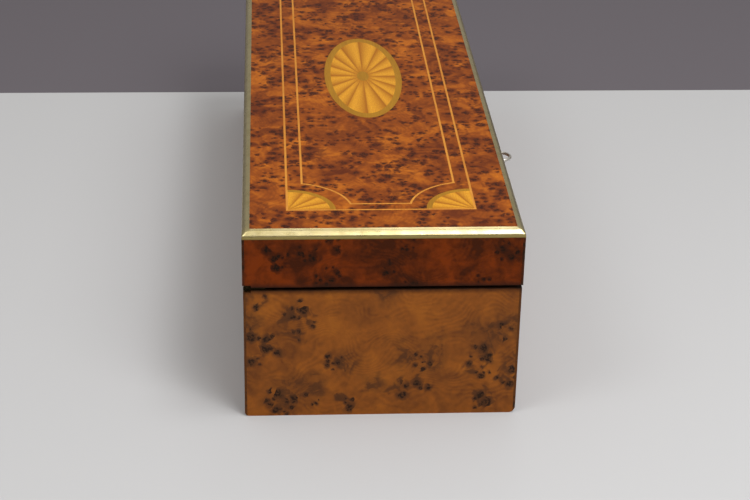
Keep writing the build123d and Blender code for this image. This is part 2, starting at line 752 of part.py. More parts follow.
def wedge(centre, start, end):
    """A triangle from a centre out past two directions, each given as a point on it."""
    x, y = centre
    points = [(x + dx, y + dy) for dx, dy in (start, end)]
    return Polygon(centre, *points, align=None)


def fan_petals():
    disc = FAN_RADIUS - FAN_RIM
    step = math.pi / 2 / FAN_PETALS
    reach = 2 * FAN_RADIUS
    petals = []
    for x, y in CORNERS:
        for index in range(FAN_PETALS):
            rays = []
            for angle in (index * step, (index + 1) * step):
                dx = -math.copysign(reach * math.cos(angle), x)
                dy = -math.copysign(reach * math.sin(angle), y)
                rays.append((dx, dy))
            whole = Pos(x, y) * Circle(disc) & wedge((x, y), *rays)
            petals.append(whole & inside_outer_line())
    return inlaid_pieces(petals)


def fan_rims():
    rims = []
    for corner in CORNERS:
        rim = Circle(FAN_RADIUS) - Circle(FAN_RADIUS - FAN_RIM)
        rims.append((Pos(*corner) * rim) & inside_outer_line())
    return inlaid_pieces(rims)


def oval(inward):
    """The medallion's outline at 0 and its petals' outline at 1."""
    return Ellipse(OVAL_LENGTH / 2 - inward * OVAL_RIM_END, OVAL_WIDTH / 2 - inward * OVAL_RIM_SIDE)


def eye():
    return Ellipse(EYE_LENGTH / 2, EYE_WIDTH / 2)


def petal_rays():
    """Directions that share the petals' ellipse into equal lengths of edge."""
    a = OVAL_LENGTH / 2 - OVAL_RIM_END
    b = OVAL_WIDTH / 2 - OVAL_RIM_SIDE
    steps = 3600
    lengths = [0.0]
    for index in range(steps):
        angle = 2 * math.pi * (index + 0.5) / steps
        lengths.append(lengths[-1] + math.hypot(a * math.sin(angle), b * math.cos(angle)))
    rays = []
    index = 0
    for petal in range(OVAL_PETALS):
        while lengths[index] < lengths[-1] * petal / OVAL_PETALS:
            index += 1
        angle = 2 * math.pi * index / steps
        rays.append((2 * a * math.cos(angle), 2 * b * math.sin(angle)))
    return rays


def medallion_petals():
    ring = oval(1) - eye()
    rays = petal_rays()
    petals = []
    for index, start in enumerate(rays):
        end = rays[(index + 1) % len(rays)]
        petals.append(ring & wedge((0, 0), start, end))
    return inlaid_pieces(petals)


def medallion_rim():
    return inlaid(oval(0) - oval(1))


def medallion_eye():
    return inlaid(eye())


# ------------------------------------------------------------------ every node

def nodes():
    made = {}
    for side in TURN:
        made[f"{side}_wall"] = body_wall(side)
        made[f"{side}_veneer"] = body_veneer(side)
        made[f"lid_{side}_rail"] = lid_rail(side)
        made[f"lid_{side}_veneer"] = lid_veneer(side)
        made[f"brass_edging_{side}"] = edging(side)
    made["floor_board"] = floor_board()
    made["floor_felt"] = felt(FLOOR_TOP)
    made["stop_dowel"] = stop_dowel()
    made["sliding_base"] = sliding_base()
    made["base_end_strip"] = base_end_strip()
    made["base_strip_veneer"] = base_strip_veneer()
    made["hinge_body_leaf"] = hinge_body_leaf()
    made["hinge_lid_leaf"] = hinge_lid_leaf()
    made["hinge_pin"] = hinge_pin()
    made["hinge_body_screws"] = screws_at(hinge_screw_places(False), SCREW_LENGTH)
    made["hinge_lid_screws"] = screws_at(hinge_screw_places(True), SCREW_LENGTH)
    made["lock_plate"] = lock_plate()
    made["lock_cap"] = lock_cap()
    made["lock_bolt"] = lock_bolt()
    made["lock_rotor"] = lock_rotor()
    made["lock_plate_screws"] = screws_at(plate_screw_places(), LOCK_SCREW_LENGTH)
    made["selvedge_screws"] = screws_at(selvedge_screw_places(), SCREW_LENGTH)
    made["key"] = key()
    made["escutcheon"] = escutcheon()
    made["escutcheon_pins"] = escutcheon_pins()
    made["link_plate"] = link_plate()
    made["link_plate_screws"] = screws_at(link_screw_places(), SCREW_LENGTH)
    made["lid_panel"] = lid_panel()
    made["lid_felt"] = felt(PANEL_BOTTOM - FELT)
    made["lid_border_veneer"] = lid_border_veneer()
    made["lid_band_veneer"] = lid_band_veneer()
    made["lid_field_veneer"] = lid_field_veneer()
    made["outer_stringing"] = outer_stringing()
    made["inner_stringing"] = inner_stringing()
    made["fan_petals"] = fan_petals()
    made["fan_rims"] = fan_rims()
    made["medallion_rim"] = medallion_rim()
    made["medallion_petals"] = medallion_petals()
    made["medallion_eye"] = medallion_eye()
    return made


def write_parts():
    os.makedirs("parts", exist_ok=True)
    for name, shape in nodes().items():
        solids = shape if isinstance(shape, list) else [shape]
        loose = [solid for piece in solids for solid in piece.solids()]
        export_step(Compound(children=loose), f"parts/{name}.step")


write_parts()
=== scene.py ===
import math

import bmesh
import bpy
from mathutils import Matrix, Vector


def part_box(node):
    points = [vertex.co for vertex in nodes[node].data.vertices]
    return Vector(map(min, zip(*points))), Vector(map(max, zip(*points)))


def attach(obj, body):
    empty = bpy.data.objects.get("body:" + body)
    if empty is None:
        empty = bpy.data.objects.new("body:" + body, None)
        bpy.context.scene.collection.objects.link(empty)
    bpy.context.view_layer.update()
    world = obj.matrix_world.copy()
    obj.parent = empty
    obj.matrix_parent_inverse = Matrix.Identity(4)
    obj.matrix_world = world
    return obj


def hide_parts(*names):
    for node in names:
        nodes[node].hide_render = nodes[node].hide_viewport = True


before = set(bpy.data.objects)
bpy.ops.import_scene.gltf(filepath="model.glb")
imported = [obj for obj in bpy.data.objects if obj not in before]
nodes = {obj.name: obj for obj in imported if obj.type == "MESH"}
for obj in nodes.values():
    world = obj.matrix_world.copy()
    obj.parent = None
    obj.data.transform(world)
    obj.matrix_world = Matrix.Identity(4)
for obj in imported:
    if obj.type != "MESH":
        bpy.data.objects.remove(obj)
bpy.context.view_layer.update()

# A long box veneered in thuya burl, with an inlaid lid, brass edging and a key in its lock.
# Metres, in the model's own frame; the materials measure in millimetres.

MM = 0.001
SIDES = ("front", "right", "back", "left")
LONG_SIDES = ("front", "back")

CAMERA_PLACE = (-0.7217, 0.0409, 0.3533)
CAMERA_HEADING = -93.77            # degrees, 0 looks along +Y
CAMERA_DIP = 26.5
CAMERA_ROLL = 1.154
CAMERA_LENS = 87.5
CAMERA_SENSOR = 36.0
CAMERA_SIGHT = 20.0                # how far it sees
PAPER_END = 0.172                  # the pale floor's end behind the box
STAGE_REACH = 4                    # of the floor and the cloth, from the middle
CLOTH_DROP = 0.0005                # of the cloth below the floor

# Where each lamp stands, its size and its power in watts. They face the middle of the box's underside.
LAMPS = {
    "overhead": ((-0.20, -0.47, 1.39), 0.4, 3.9),
    "near_light": ((-0.53, -0.27, 0.60), 0.44, 2.6),
    "edge_light": ((-0.69, -0.48, 1.16), 0.3, 1.8),
    "far_glint": ((0.62, -0.15, 1.0), 0.3, 0.6),
    "left_glint": ((-0.44, 0.52, 0.84), 0.4, 1.6)}
# The sky's light at a height, from 0 at the horizon and below it to 1 overhead.
SKY = [(0.0, 0.30), (0.35, 0.30), (0.62, 0.46), (0.92, 0.60), (1.0, 1.4)]
SKY_TINT = (1.0, 0.98, 0.95)

SMOOTH_BELOW = 38                  # degrees; sharper arrises of a piece stay sharp
ROUND_ABOVE = 35                   # degrees; sharper arrises of a node are rounded
KNUCKLES = 15                      # of the piano hinge, the body's and the lid's in turn
PETALS = 4                         # of a fan, and of a quarter of the oval

# From here on lengths are in millimetres.
ARRIS = 0.15                       # how far a wooden arris is rounded
BODY_ARRIS = 0.2
METAL_ARRIS = 0.1
WELD = 0.002                       # points this near each other are one
KNUCKLE_GAP = 0.15
KNUCKLE_PROUD = 0.02               # over the solids' ten-sided ones
KNUCKLE_EASE = 0.12                # the chamfer at a knuckle's ends
PIN_PLAY = 0.01                    # the hinge pin in its bore
PIN_TIP = 0.25                     # of the hinge pin's rounded ends, length

EDGING_WIDTH = 2.8                 # of the brass, seen from above
# Its outline from the flat over the chamfer to its side: inward from its outer face, down from its top.
EDGING_OUTLINE = [(1.6, 0.27), (1.4, 0.34), (1.2, 0.5), (0.3, 1.45), (0.16, 1.64), (0.05, 1.95), (0.0, 2.3)]
EDGING_STEPS = 60                  # along a bar
EDGING_WAVE = 0.012                # how unevenly it was filed
HIP_WEAR = 0.35                    # how far from its tip a mitre's wear begins
HIP_SUNK = 0.12                    # how far its tip is worn away

SCREW_HEAD = 1.5                   # radius
SCREW_PROUD = 0.06                 # of the head over the solid's eight-sided one
SCREW_EDGE = 1.417                 # from a screw's middle to its edge beside the slot, in the solids
SCREW_DEPTH = 0.6                  # of the head's sides
SLOT_HALF = 0.2                    # half of a slot's width
SLOT_DEPTH = 0.3
HEAD_STEPS = 16                    # round half a head

PIN_HEAD = 0.75                    # of the escutcheon's pins, radius
PIN_DOME = 0.4                     # height
PIN_SUNK = 0.2

BOW_WIRE = 1.4                     # of the key's ring
SHANK = 1.2                        # the key's, radius
COLLAR = 2.2                       # the key's, radius
KEYHOLE_PLAY = 0.3
# The key's turned beads: radius, and how far along from the ring's inside, or from the collar's face.
BOW_BEADS = [(0, 0), (1.0, 0.1), (0.95, 0.6), (1.35, 1.3), (1.4, 1.7), (1.0, 2.2), (SHANK, 2.8)]
COLLAR_BEADS = [
    (SHANK, -1.5), (1.7, -1.4), (1.85, -1.15), (1.7, -0.95), (COLLAR - 0.15, -0.85), (COLLAR, -0.5),
    (COLLAR - 0.15, -0.1), (1.8, 0), (SHANK, 0)]
KEY_TIP = (0.9, 0.3)               # its radius, and how long its rounding is
BIT_REACH = 3.2                    # from the shank's middle
BIT_LENGTH = 1.9                   # along the shank
BIT_HALF = 0.6                     # half of its thickness
BIT_EASE = 0.12

FELT_GRID = (112, 32)              # faces along and across
FELT_LEVEL = 0.86                  # its usual height, as a share of the solid's
FELT_WAVE = 0.1                    # how far it rises and falls, as a share
FELT_THIN = 0.3                    # what its cut edge loses, as a share
FELT_EDGE = 1.2                    # how far in the thinning reaches


# ------------------------------------------------------------------ node recipes

def tone(red, green, blue):
    """A colour written as 0 to 255, as the shader takes it."""
    parts = []
    for part in (red, green, blue):
        share = part / 255
        parts.append(share / 12.92 if share <= 0.04045 else ((share + 0.055) / 1.055) ** 2.4)
    return (*parts, 1.0)


class Recipe:
    """A material whose nodes are added by short calls. Sizes are in millimetres."""

    def __init__(self, name, **sockets):
        self.material = bpy.data.materials.new(name)
        self.material.use_nodes = True
        self.tree = self.material.node_tree
        self.shader = self.tree.nodes["Principled BSDF"]
        for socket, value in sockets.items():
            self.shader.inputs[socket.replace("_", " ")].default_value = value

    def add(self, kind, inputs, output=0, **settings):
        node = self.tree.nodes.new("ShaderNode" + kind)
        for name, value in settings.items():
            setattr(node, name, value)
        for name, value in inputs.items():
            if isinstance(value, bpy.types.NodeSocket):
                self.tree.links.new(value, node.inputs[name])
            else:
                node.inputs[name].default_value = value
        return node if output is None else node.outputs[output]

    def math(self, operation, first, second=0.0):
        return self.add("Math", {0: first, 1: second}, operation=operation)

    def product(self, first, second):
        return self.math("MULTIPLY", first, second)

    def largest(self, first, second):
        return self.math("MAXIMUM", first, second)

    def vector(self, operation, first, second):
        key = "Scale" if operation == "SCALE" else 1
        return self.add("VectorMath", {0: first, key: second}, operation=operation)

    def place(self):
        """Where a point is on the object, in millimetres."""
        spot = self.add("TexCoord", {}, "Object")
        return self.vector("SCALE", spot, 1000.0)

    def length(self, vector):
        return self.add("VectorMath", {0: vector}, 1, operation="LENGTH")

    def parts(self, vector):
        node = self.add("SeparateXYZ", {0: vector}, None)
        return node.outputs[0], node.outputs[1], node.outputs[2]

    def join(self, x, y, z=0.0):
        return self.add("CombineXYZ", {0: x, 1: y, 2: z})

    def noise(self, vector, size, detail=2.0, roughness=0.5, output=0):
        inputs = {"Vector": vector, "Scale": 1 / size, "Detail": detail, "Roughness": roughness}
        return self.add("TexNoise", inputs, output)

    def warped(self, vector, size, reach, detail=2.0):
        """The place moved about by up to half of reach, so that what is drawn there bends."""
        push = self.vector("SUBTRACT", self.noise(vector, size, detail, output="Color"), (0.5, 0.5, 0.5))
        return self.vector("ADD", vector, self.vector("SCALE", push, reach))

    def stretched(self, vector, x, y, z=1.0):
        return self.vector("MULTIPLY", vector, (1 / x, 1 / y, 1 / z))

    def fade(self, value, start, end, low=0.0, high=1.0):
        """Goes smoothly from low at start to high at end, and no further."""
        inputs = {"Value": value, "From Min": start, "From Max": end, "To Min": low, "To Max": high}
        return self.add("MapRange", inputs, interpolation_type="SMOOTHSTEP")

    def ramp(self, value, stops):
        node = self.add("ValToRGB", {0: value}, None)
        elements = node.color_ramp.elements
        while len(elements) < len(stops):
            elements.new(0.5)
        for element, (position, colour) in zip(elements, stops):
            element.position = position
            element.color = colour
        return node.outputs[0]

    def mix(self, share, first, second):
        return self.add("Mix", {0: share, 6: first, 7: second}, 2, data_type="RGBA")

    def bump(self, height, depth):
        """depth is in millimetres."""
        self.wire("Normal", self.add("Bump", {"Height": height, "Distance": depth * MM}))

    def wire(self, socket, value):
        self.tree.links.new(value, self.shader.inputs[socket])


# ------------------------------------------------------------------ wood

POLISH = {"Roughness": 0.42, "Specular_IOR_Level": 0.05, "Coat_Weight": 0.09, "Coat_Roughness": 0.12}
# The colours of each veneer, its eyes' size and how common they are (level), and how strong its growth lines,
# the contrast of its clouds and the smoke among its eyes are.
TOP_LOOK = {
    "light": tone(188, 105, 24), "middle": tone(140, 69, 15), "dark": tone(92, 38, 9),
    "halo": tone(86, 34, 10), "eye": tone(54, 22, 9),
    "size": 2.3, "level": 0.515, "lines": 0.02, "contrast": 0.2, "smoky": 0.75}
LID_LOOK = {
    "light": tone(116, 46, 2), "middle": tone(94, 36, 1), "dark": tone(62, 23, 1),
    "halo": tone(52, 20, 2), "eye": tone(26, 13, 3),
    "size": 2.1, "level": 0.5, "lines": 0.02, "contrast": 0.12, "smoky": 0.6}
BODY_LOOK = {
    "light": tone(153, 89, 30), "middle": tone(134, 76, 28), "dark": tone(106, 60, 26),
    "halo": tone(72, 45, 27), "eye": tone(42, 27, 16),
    "size": 2.6, "level": 0.44, "lines": 0.045, "contrast": 0.17, "smoky": 0.8}
# On the near end the eyes stand in groups and dark clouds lie between them.
# Each is how far along the sheet, how far up it, and a radius.
BODY_KNOTS = [
    (46, 48, 4.5), (32, 43, 5.5), (47, 36, 5), (25, 40, 3.5), (39, 29, 5), (30, 34, 3), (47, 22, 3.5),
    (18, 22, 4.5), (36, 6, 6), (26, 7, 4.5), (11, 6, 4.5), (-7, 12, 4.5), (-16, 12, 3.5), (-14, 22, 4),
    (-45, 34, 4.5), (-36, 27, 5), (-36, 19, 5), (-46, 15, 4), (-37, 5, 4)]
BODY_CLOUDS = [
    (-9, 24, 9), (-18, 25, 9), (-37, 33, 9), (-46, 37, 9), (-48, 21, 6), (33, 9, 10), (24, 13, 6),
    (3, 14, 6), (-2, 51, 7), (12, 22, 6), (50, 38, 8)]
LID_KNOTS = [
    (38, 65, 5), (27, 66, 4), (20, 58, 5.5), (18, 70, 4), (-1, 61, 4.5), (-9, 55, 3.5), (-44, 66, 5),
    (-8, 70, 3), (-36, 56, 3.5)]
LID_CLOUDS = [(-1, 62, 5), (-44, 65, 5), (-35, 57, 4)]


def sheet_plane(paint, across, seed):
    """The two directions along a veneer sheet, with a depth of its own in the same log."""
    x, y, z = paint.parts(paint.place())
    first, second = {"X": (y, z), "Y": (x, z), "Z": (x, y)}[across]
    return paint.join(first, second, seed * 37.0)


def crowding(paint, knots, level):
    """How thickly eyes stand at a place, 0 to 1: round the given knots, or in drifts of their own."""
    def by_noise(spot):
        return paint.fade(paint.noise(spot, 12.0), level + 0.035, level - 0.045)

    def by_knots(spot):
        return near_spots(paint, spot, knots, 1.15, 0.7)

    return by_knots if knots else by_noise


def near_spots(paint, place, spots, outside, inside):
    """1 near any of the spots and 0 away from them all; a spot is along, up and radius."""
    flat = paint.vector("MULTIPLY", place, (1, 1, 0))
    nearness = 0.0
    for along, up, radius in spots:
        away = paint.add("VectorMath", {0: flat, 1: (along, up, 0)}, 1, operation="DISTANCE")
        nearness = paint.largest(nearness, paint.fade(away, radius * outside, radius * inside))
    return nearness


def eyes(paint, plane, size, crowd, seed, share):
    """The burl's eyes, about size across: dark, ragged, with pale flecks, in a share of the cells."""
    cell = size * 1.9
    bent = paint.warped(plane, size * 0.9, size * 1.1, 1.5)
    shift = (seed * 37.0, seed * 91.0, 0.0)
    inputs = {"Vector": paint.vector("ADD", bent, shift), "Scale": 1 / cell}
    cells = paint.add("TexVoronoi", inputs, None, voronoi_dimensions="2D")
    chance, width, _ = paint.parts(cells.outputs["Color"])
    radius = paint.add("MapRange", {"Value": width, "To Min": size * 0.25, "To Max": size * 0.7})
    reach = paint.math("DIVIDE", paint.product(cells.outputs["Distance"], cell), radius)
    middle = paint.vector("SUBTRACT", cells.outputs["Position"], shift)
    here = paint.math("LESS_THAN", chance, paint.product(crowd(middle), share))
    fleck = paint.fade(paint.noise(plane, size * 0.32), 0.46, 0.58, 1.0, 0.25)
    core = paint.product(paint.product(paint.fade(reach, 1.1, 0.7), here), fleck)
    halo = paint.product(paint.fade(reach, 2.6, 0.8), here)
    return core, halo


def growth_lines(paint, plane):
    """Fine curly lines, close together, that flow round the burl's knots and come and go."""
    hills = paint.product(paint.noise(plane, 24.0, 1.0), 20.0)
    small_hills = paint.product(paint.noise(plane, 4.0, 1.0), 1.2)
    _, slope, _ = paint.parts(paint.vector("SCALE", plane, 0.35))
    lines = paint.math("ADD", paint.math("ADD", hills, small_hills), slope)
    wave = paint.math("SINE", paint.product(lines, 2 * math.pi))
    return paint.product(wave, paint.fade(paint.noise(plane, 9.0, 1.0), 0.35, 0.57))


def burl_ground(paint, plane, bent, look):
    """The wood between the eyes: clouds, flames and growth lines."""
    contrast = look["contrast"]
    cloud = paint.noise(bent, 13.0, 3.0, 0.55)
    flame = paint.noise(paint.warped(plane, 5.0, 7.0), 3.4, 3.0, 0.6)
    depth = paint.math("ADD", paint.product(cloud, 0.68), paint.product(flame, 0.32))
    depth = paint.math("ADD", depth, paint.product(growth_lines(paint, plane), look["lines"]))
    stops = [(0.5 - contrast, look["dark"]), (0.5, look["middle"]), (0.5 + contrast, look["light"])]
    return paint.ramp(depth, stops)


def burl_smoke(paint, plane, bent, crowd, clouds):
    """Where the wood is smoky: among the eyes, and in the given clouds."""
    smoke = paint.product(crowd(bent), paint.fade(paint.noise(bent, 6.0, 3.0), 0.44, 0.62))
    if clouds:
        drift = near_spots(paint, paint.warped(plane, 7.0, 16.0, 3.0), clouds, 1.3, 0.25)
        wisps = paint.noise(paint.stretched(bent, 2.0, 1.0), 4.0, 4.0, 0.6)
        smoke = paint.largest(smoke, paint.product(drift, paint.fade(wisps, 0.4, 0.6, 0.3, 1.0)))
    return smoke


def burl(name, across, seed, look, knots=(), clouds=()):
    """Thuya burl veneer under polish; across is the axis that the sheet faces.

    Its eyes crowd round the given knots, or else stand in drifts, and the given clouds are dark.
    """
    paint = Recipe(name, **POLISH)
    plane = sheet_plane(paint, across, seed)
    bent = paint.warped(plane, 14.0, 24.0, 3.0)
    crowd = crowding(paint, knots, look["level"])
    wood = burl_ground(paint, plane, bent, look)
    smoke = burl_smoke(paint, plane, bent, crowd, clouds)
    wood = paint.mix(paint.product(smoke, look["smoky"]), wood, look["halo"])
    large, large_halo = eyes(paint, plane, look["size"], crowd, seed, 0.8)
    small, small_halo = eyes(paint, plane, look["size"] * 0.5, crowd, seed + 30, 0.45)
    wood = paint.mix(paint.product(paint.largest(large_halo, small_halo), 0.8), wood, look["halo"])
    wood = paint.mix(paint.largest(large, small), wood, look["eye"])
    # Painted shade along the joint between body and lid, then darker end grain.
    paint.wire("Base Color", end_grain(paint, across, joint_shade_and_grime(paint, wood)))
    paint.bump(paint.noise(plane, 7.0, 1.0), 0.03)
    return paint.material


def joint_shade_and_grime(paint, wood, black=0.95):
    """Painted shade, black in the joint between body and lid, and brown for 2 mm beside it, painted shade
    with old polish and dirt.
    """
    body_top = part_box("front_veneer")[1].z / MM
    lid_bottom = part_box("lid_front_veneer")[0].z / MM
    _, _, height = paint.parts(paint.place())
    off_joint = paint.math("ABSOLUTE", paint.math("SUBTRACT", height, (body_top + lid_bottom) / 2))
    ragged = paint.product(paint.noise(paint.place(), 2.5, 3.0), 0.5)
    off_joint = paint.math("SUBTRACT", off_joint, ragged)
    # Painted shade with old polish and dirt: a brown band on either side of the joint.
    wood = paint.mix(paint.fade(off_joint, 2.8, 0.5, 0.0, 0.75), wood, tone(46, 22, 10))
    # Painted shade: near black in the joint itself, where the gap lies in shadow.
    return paint.mix(paint.fade(off_joint, 0.85, 0.2, 0.0, black), wood, tone(14, 5, 2))


def end_grain(paint, across, wood):
    """The sheet's own narrow edges are darkened by old polish."""
    facing = paint.add("TexCoord", {}, "Normal")
    sideways = paint.math("ABSOLUTE", paint.parts(facing)["XYZ".index(across)])
    return paint.mix(paint.fade(sideways, 0.5, 0.3, 0.0, 0.65), wood, tone(44, 30, 18))


def plain_wood(name, along, light, dark, rim=0.0):
    """Straight-grained wood; along is its grain's axis and rim is how black its edges at the joint are, a
    dark finish and painted shade.
    """
    paint = Recipe(name, Roughness=0.45, Specular_IOR_Level=0.15)
    bent = paint.warped(paint.place(), 30.0, 5.0)

    def grain(length, width, *look):
        drawn_out = paint.stretched(bent, *(length if axis == along else width for axis in "XYZ"))
        return paint.noise(drawn_out, 1.0, *look)

    streak = grain(14.0, 0.55, 3.0, 0.6)
    band = grain(60.0, 5.0)
    depth = paint.math("ADD", paint.product(streak, 0.6), paint.product(band, 0.4))
    wood = paint.ramp(depth, [(0.36, dark), (0.62, light)])
    # With rim given, its edges at the joint are blackened: a dark finish and painted shade.
    paint.wire("Base Color", joint_shade_and_grime(paint, wood, rim) if rim else wood)
    paint.bump(streak, 0.04)
    return paint.material


def petal_wood(name, share, toward_middle):
    """Pale wood scorched towards one edge of each petal, a little at the other, and towards the middle."""
    paint = Recipe(name, **POLISH)
    across = share(paint)
    grain = paint.noise(paint.stretched(paint.place(), 1.2, 0.5), 1.0, 3.0, 0.6)
    wood = paint.mix(paint.fade(grain, 0.35, 0.65), tone(206, 140, 38), tone(220, 158, 44))
    edge = paint.product(paint.math("POWER", across, 2.0), 0.85)
    next_edge = paint.product(paint.math("POWER", paint.math("SUBTRACT", 1.0, across), 9.0), 0.6)
    inward = paint.product(toward_middle(paint), 0.6)
    scorch = paint.largest(paint.largest(edge, next_edge), inward)
    paint.wire("Base Color", paint.mix(scorch, wood, tone(140, 74, 14)))
    return paint.material


def fan_wood():
    """Each fan's petals share a quarter turn equally, counted from the long line."""
    corner = (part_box("outer_stringing")[1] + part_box("fan_petals")[1]) / 2 / MM

    def local(paint):
        x, y, _ = paint.parts(paint.place())
        inset_x = paint.math("SUBTRACT", corner.x, paint.math("ABSOLUTE", x))
        inset_y = paint.math("SUBTRACT", corner.y, paint.math("ABSOLUTE", y))
        return inset_x, inset_y

    def share(paint):
        inset_x, inset_y = local(paint)
        angle = paint.math("ARCTAN2", inset_y, inset_x)
        return paint.math("FRACT", paint.math("DIVIDE", angle, math.pi / 2 / PETALS))

    def toward_middle(paint):
        return paint.fade(paint.length(paint.join(*local(paint))), 7.0, 0.0)

    return petal_wood("fan_wood", share, toward_middle)


def petal_edges(half_x, half_y, petals, steps=900):
    """The angles, on the ellipse's own circle, that cut a quarter of its edge into equal lengths."""
    lengths = [0.0]
    for index in range(steps):
        angle = math.pi / 2 * (index + 0.5) / steps
        lengths.append(lengths[-1] + math.hypot(half_x * math.sin(angle), half_y * math.cos(angle)))
    edges = []
    index = 0
    for petal in range(petals + 1):
        while index < steps and lengths[index] < lengths[-1] * petal / petals:
            index += 1
        edges.append(math.pi / 2 * index / steps)
    return edges


def medallion_wood():
    """The oval's petals share each quarter of its edge equally."""
    half_x, half_y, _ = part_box("medallion_petals")[1] / MM
    edges = petal_edges(half_x, half_y, PETALS)

    def share(paint):
        x, y, _ = paint.parts(paint.place())
        across = paint.math("ABSOLUTE", paint.math("DIVIDE", y, half_y))
        angle = paint.math("ARCTAN2", across, paint.math("ABSOLUTE", paint.math("DIVIDE", x, half_x)))
        count = 0.0
        for start, end in zip(edges, edges[1:]):
            passed = paint.add("MapRange", {"Value": angle, "From Min": start, "From Max": end})
            count = paint.math("ADD", count, passed)
        part = paint.math("FRACT", count)
        forward = paint.math("GREATER_THAN", paint.product(x, y), 0.0)
        backward = paint.math("SUBTRACT", 1.0, part)
        return paint.add("Mix", {0: forward, 2: backward, 3: part}, 0, data_type="FLOAT")

    def toward_middle(paint):
        x, y, _ = paint.parts(paint.place())
        spot = paint.join(paint.math("DIVIDE", x, half_x), paint.math("DIVIDE", y, half_y))
        return paint.fade(paint.length(spot), 0.55, 0.1)

    return petal_wood("medallion_wood", share, toward_middle)


# ------------------------------------------------------------------ metal, felt

def brass(name, light, dull, side, rough, ends=0.0):
    """Old polished brass, finely scratched, with painted shade on its upright sides; ends is how dark the
    painted shade on its ends is.
    """
    paint = Recipe(name, Metallic=1.0)
    spot = paint.place()
    patches = paint.noise(paint.warped(spot, 12.0, 8.0), 5.0, 4.0, 0.6)
    scratches = paint.noise(paint.warped(paint.stretched(spot, 6.0, 6.0, 0.4), 1.0, 0.4), 1.0)
    facing = paint.parts(paint.add("TexCoord", {}, "Normal"))
    upward = paint.math("ABSOLUTE", facing[2])
    metal = paint.mix(paint.fade(patches, 0.35, 0.7), light, dull)
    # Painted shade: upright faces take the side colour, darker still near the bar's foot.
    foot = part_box("brass_edging_front")[0].z / MM
    foot_shade = paint.fade(paint.parts(spot)[2], foot + 1.0, foot)
    side = paint.mix(paint.product(foot_shade, 0.5), side, tone(92, 78, 42))
    metal = paint.mix(paint.fade(upward, 0.55, 0.1), metal, side)
    # Painted shade: faces that look along the box's length go towards near black.
    if ends:
        endways = paint.math("ABSOLUTE", facing[0])
        metal = paint.mix(paint.fade(endways, 0.5, 0.9, 0.0, ends), metal, tone(30, 24, 14))
    paint.wire("Base Color", metal)
    paint.wire("Roughness", paint.fade(scratches, 0.3, 0.7, rough - 0.01, rough + 0.02))
    return paint.material


def steel():
    """Nickel-plated steel, dull and darker where hands have worn it."""
    paint = Recipe("key_steel", Metallic=1.0)
    worn = paint.noise(paint.place(), 2.2, 4.0, 0.65)
    paint.wire("Base Color", paint.mix(paint.fade(worn, 0.45, 0.7), tone(212, 208, 200), tone(164, 156, 144)))
    paint.wire("Roughness", paint.fade(worn, 0.35, 0.7, 0.34, 0.5))
    return paint.material


def felt_cloth():
    """Wine-red felt, mottled by its fibres and a little faded in patches."""
    look = {"Roughness": 0.95, "Specular_IOR_Level": 0.1, "Sheen_Weight": 0.1, "Sheen_Roughness": 0.5}
    paint = Recipe("felt_cloth", **look)
    spot = paint.place()
    fibres = paint.noise(paint.warped(spot, 0.8, 1.4), 0.35, 4.0, 0.7)
    patches = paint.noise(spot, 14.0)
    cloth = paint.mix(paint.fade(fibres, 0.3, 0.7), tone(78, 14, 20), tone(124, 32, 38))
    paint.wire("Base Color", paint.mix(paint.fade(patches, 0.4, 0.8, 0.0, 0.4), cloth, tone(84, 18, 23)))
    paint.bump(fibres, 0.12)
    return paint.material


# ------------------------------------------------------------------ finishing the model's own nodes

def dress(name, material, edge=0.0):
    """Gives a node its material and, where its arrises show, rounds them by edge millimetres."""
    node = nodes[name]
    node.data.materials.clear()
    node.data.materials.append(material)
    if not edge:
        return
    weld = node.modifiers.new("weld", "WELD")
    weld.merge_threshold = WELD * MM
    bevel = node.modifiers.new("bevel", "BEVEL")
    bevel.width = edge * MM
    bevel.segments = 3
    bevel.limit_method = "ANGLE"
    bevel.angle_limit = math.radians(ROUND_ABOVE)
    normals = node.modifiers.new("normals", "WEIGHTED_NORMAL")
    normals.keep_sharp = False


def dress_veneers():
    top = burl("burl_top", "Z", 17, TOP_LOOK)
    for name in ("lid_border_veneer", "lid_band_veneer", "lid_field_veneer"):
        dress(name, top)
    for number, side in enumerate(SIDES):
        across = "Y" if side in LONG_SIDES else "X"
        lid_spots, body_spots = (), ()
        if side == "left":
            lid_spots, body_spots = (LID_KNOTS, LID_CLOUDS), (BODY_KNOTS, BODY_CLOUDS)
        lid = burl(f"burl_lid_{side}", across, 4 + number, LID_LOOK, *lid_spots)
        body = burl(f"burl_body_{side}", across, 9 + number, BODY_LOOK, *body_spots)
        dress(f"lid_{side}_veneer", lid, ARRIS)
        dress(f"{side}_veneer", body, BODY_ARRIS)
    dress("base_strip_veneer", bpy.data.materials["burl_body_right"], ARRIS)


def dress_core():
    # rim blackens the edges that meet at the joint: a dark finish and painted shade in the gap.
    light, dark, rim = tone(150, 96, 54), tone(112, 66, 34), 0.8
    lengthwise = plain_wood("core_along", "X", light, dark, rim)
    crosswise = plain_wood("core_across", "Y", light, dark, rim)
    for side in SIDES:
        wood = lengthwise if side in LONG_SIDES else crosswise
        dress(f"{side}_wall", wood, ARRIS)
        dress(f"lid_{side}_rail", wood, ARRIS)
    for name in ("lid_panel", "floor_board", "sliding_base", "stop_dowel"):
        dress(name, lengthwise, ARRIS)
    dress("base_end_strip", crosswise, ARRIS)


def dress_inlay():
    line_along = plain_wood("line_along", "X", tone(206, 138, 50), tone(184, 116, 38))
    dress("outer_stringing", line_along)
    dress("inner_stringing", line_along)
    olive = plain_wood("olive", "X", tone(164, 116, 20), tone(148, 101, 15))
    for name in ("fan_rims", "medallion_rim", "medallion_eye"):
        dress(name, olive)
    dress("fan_petals", fan_wood())
    dress("medallion_petals", medallion_wood())


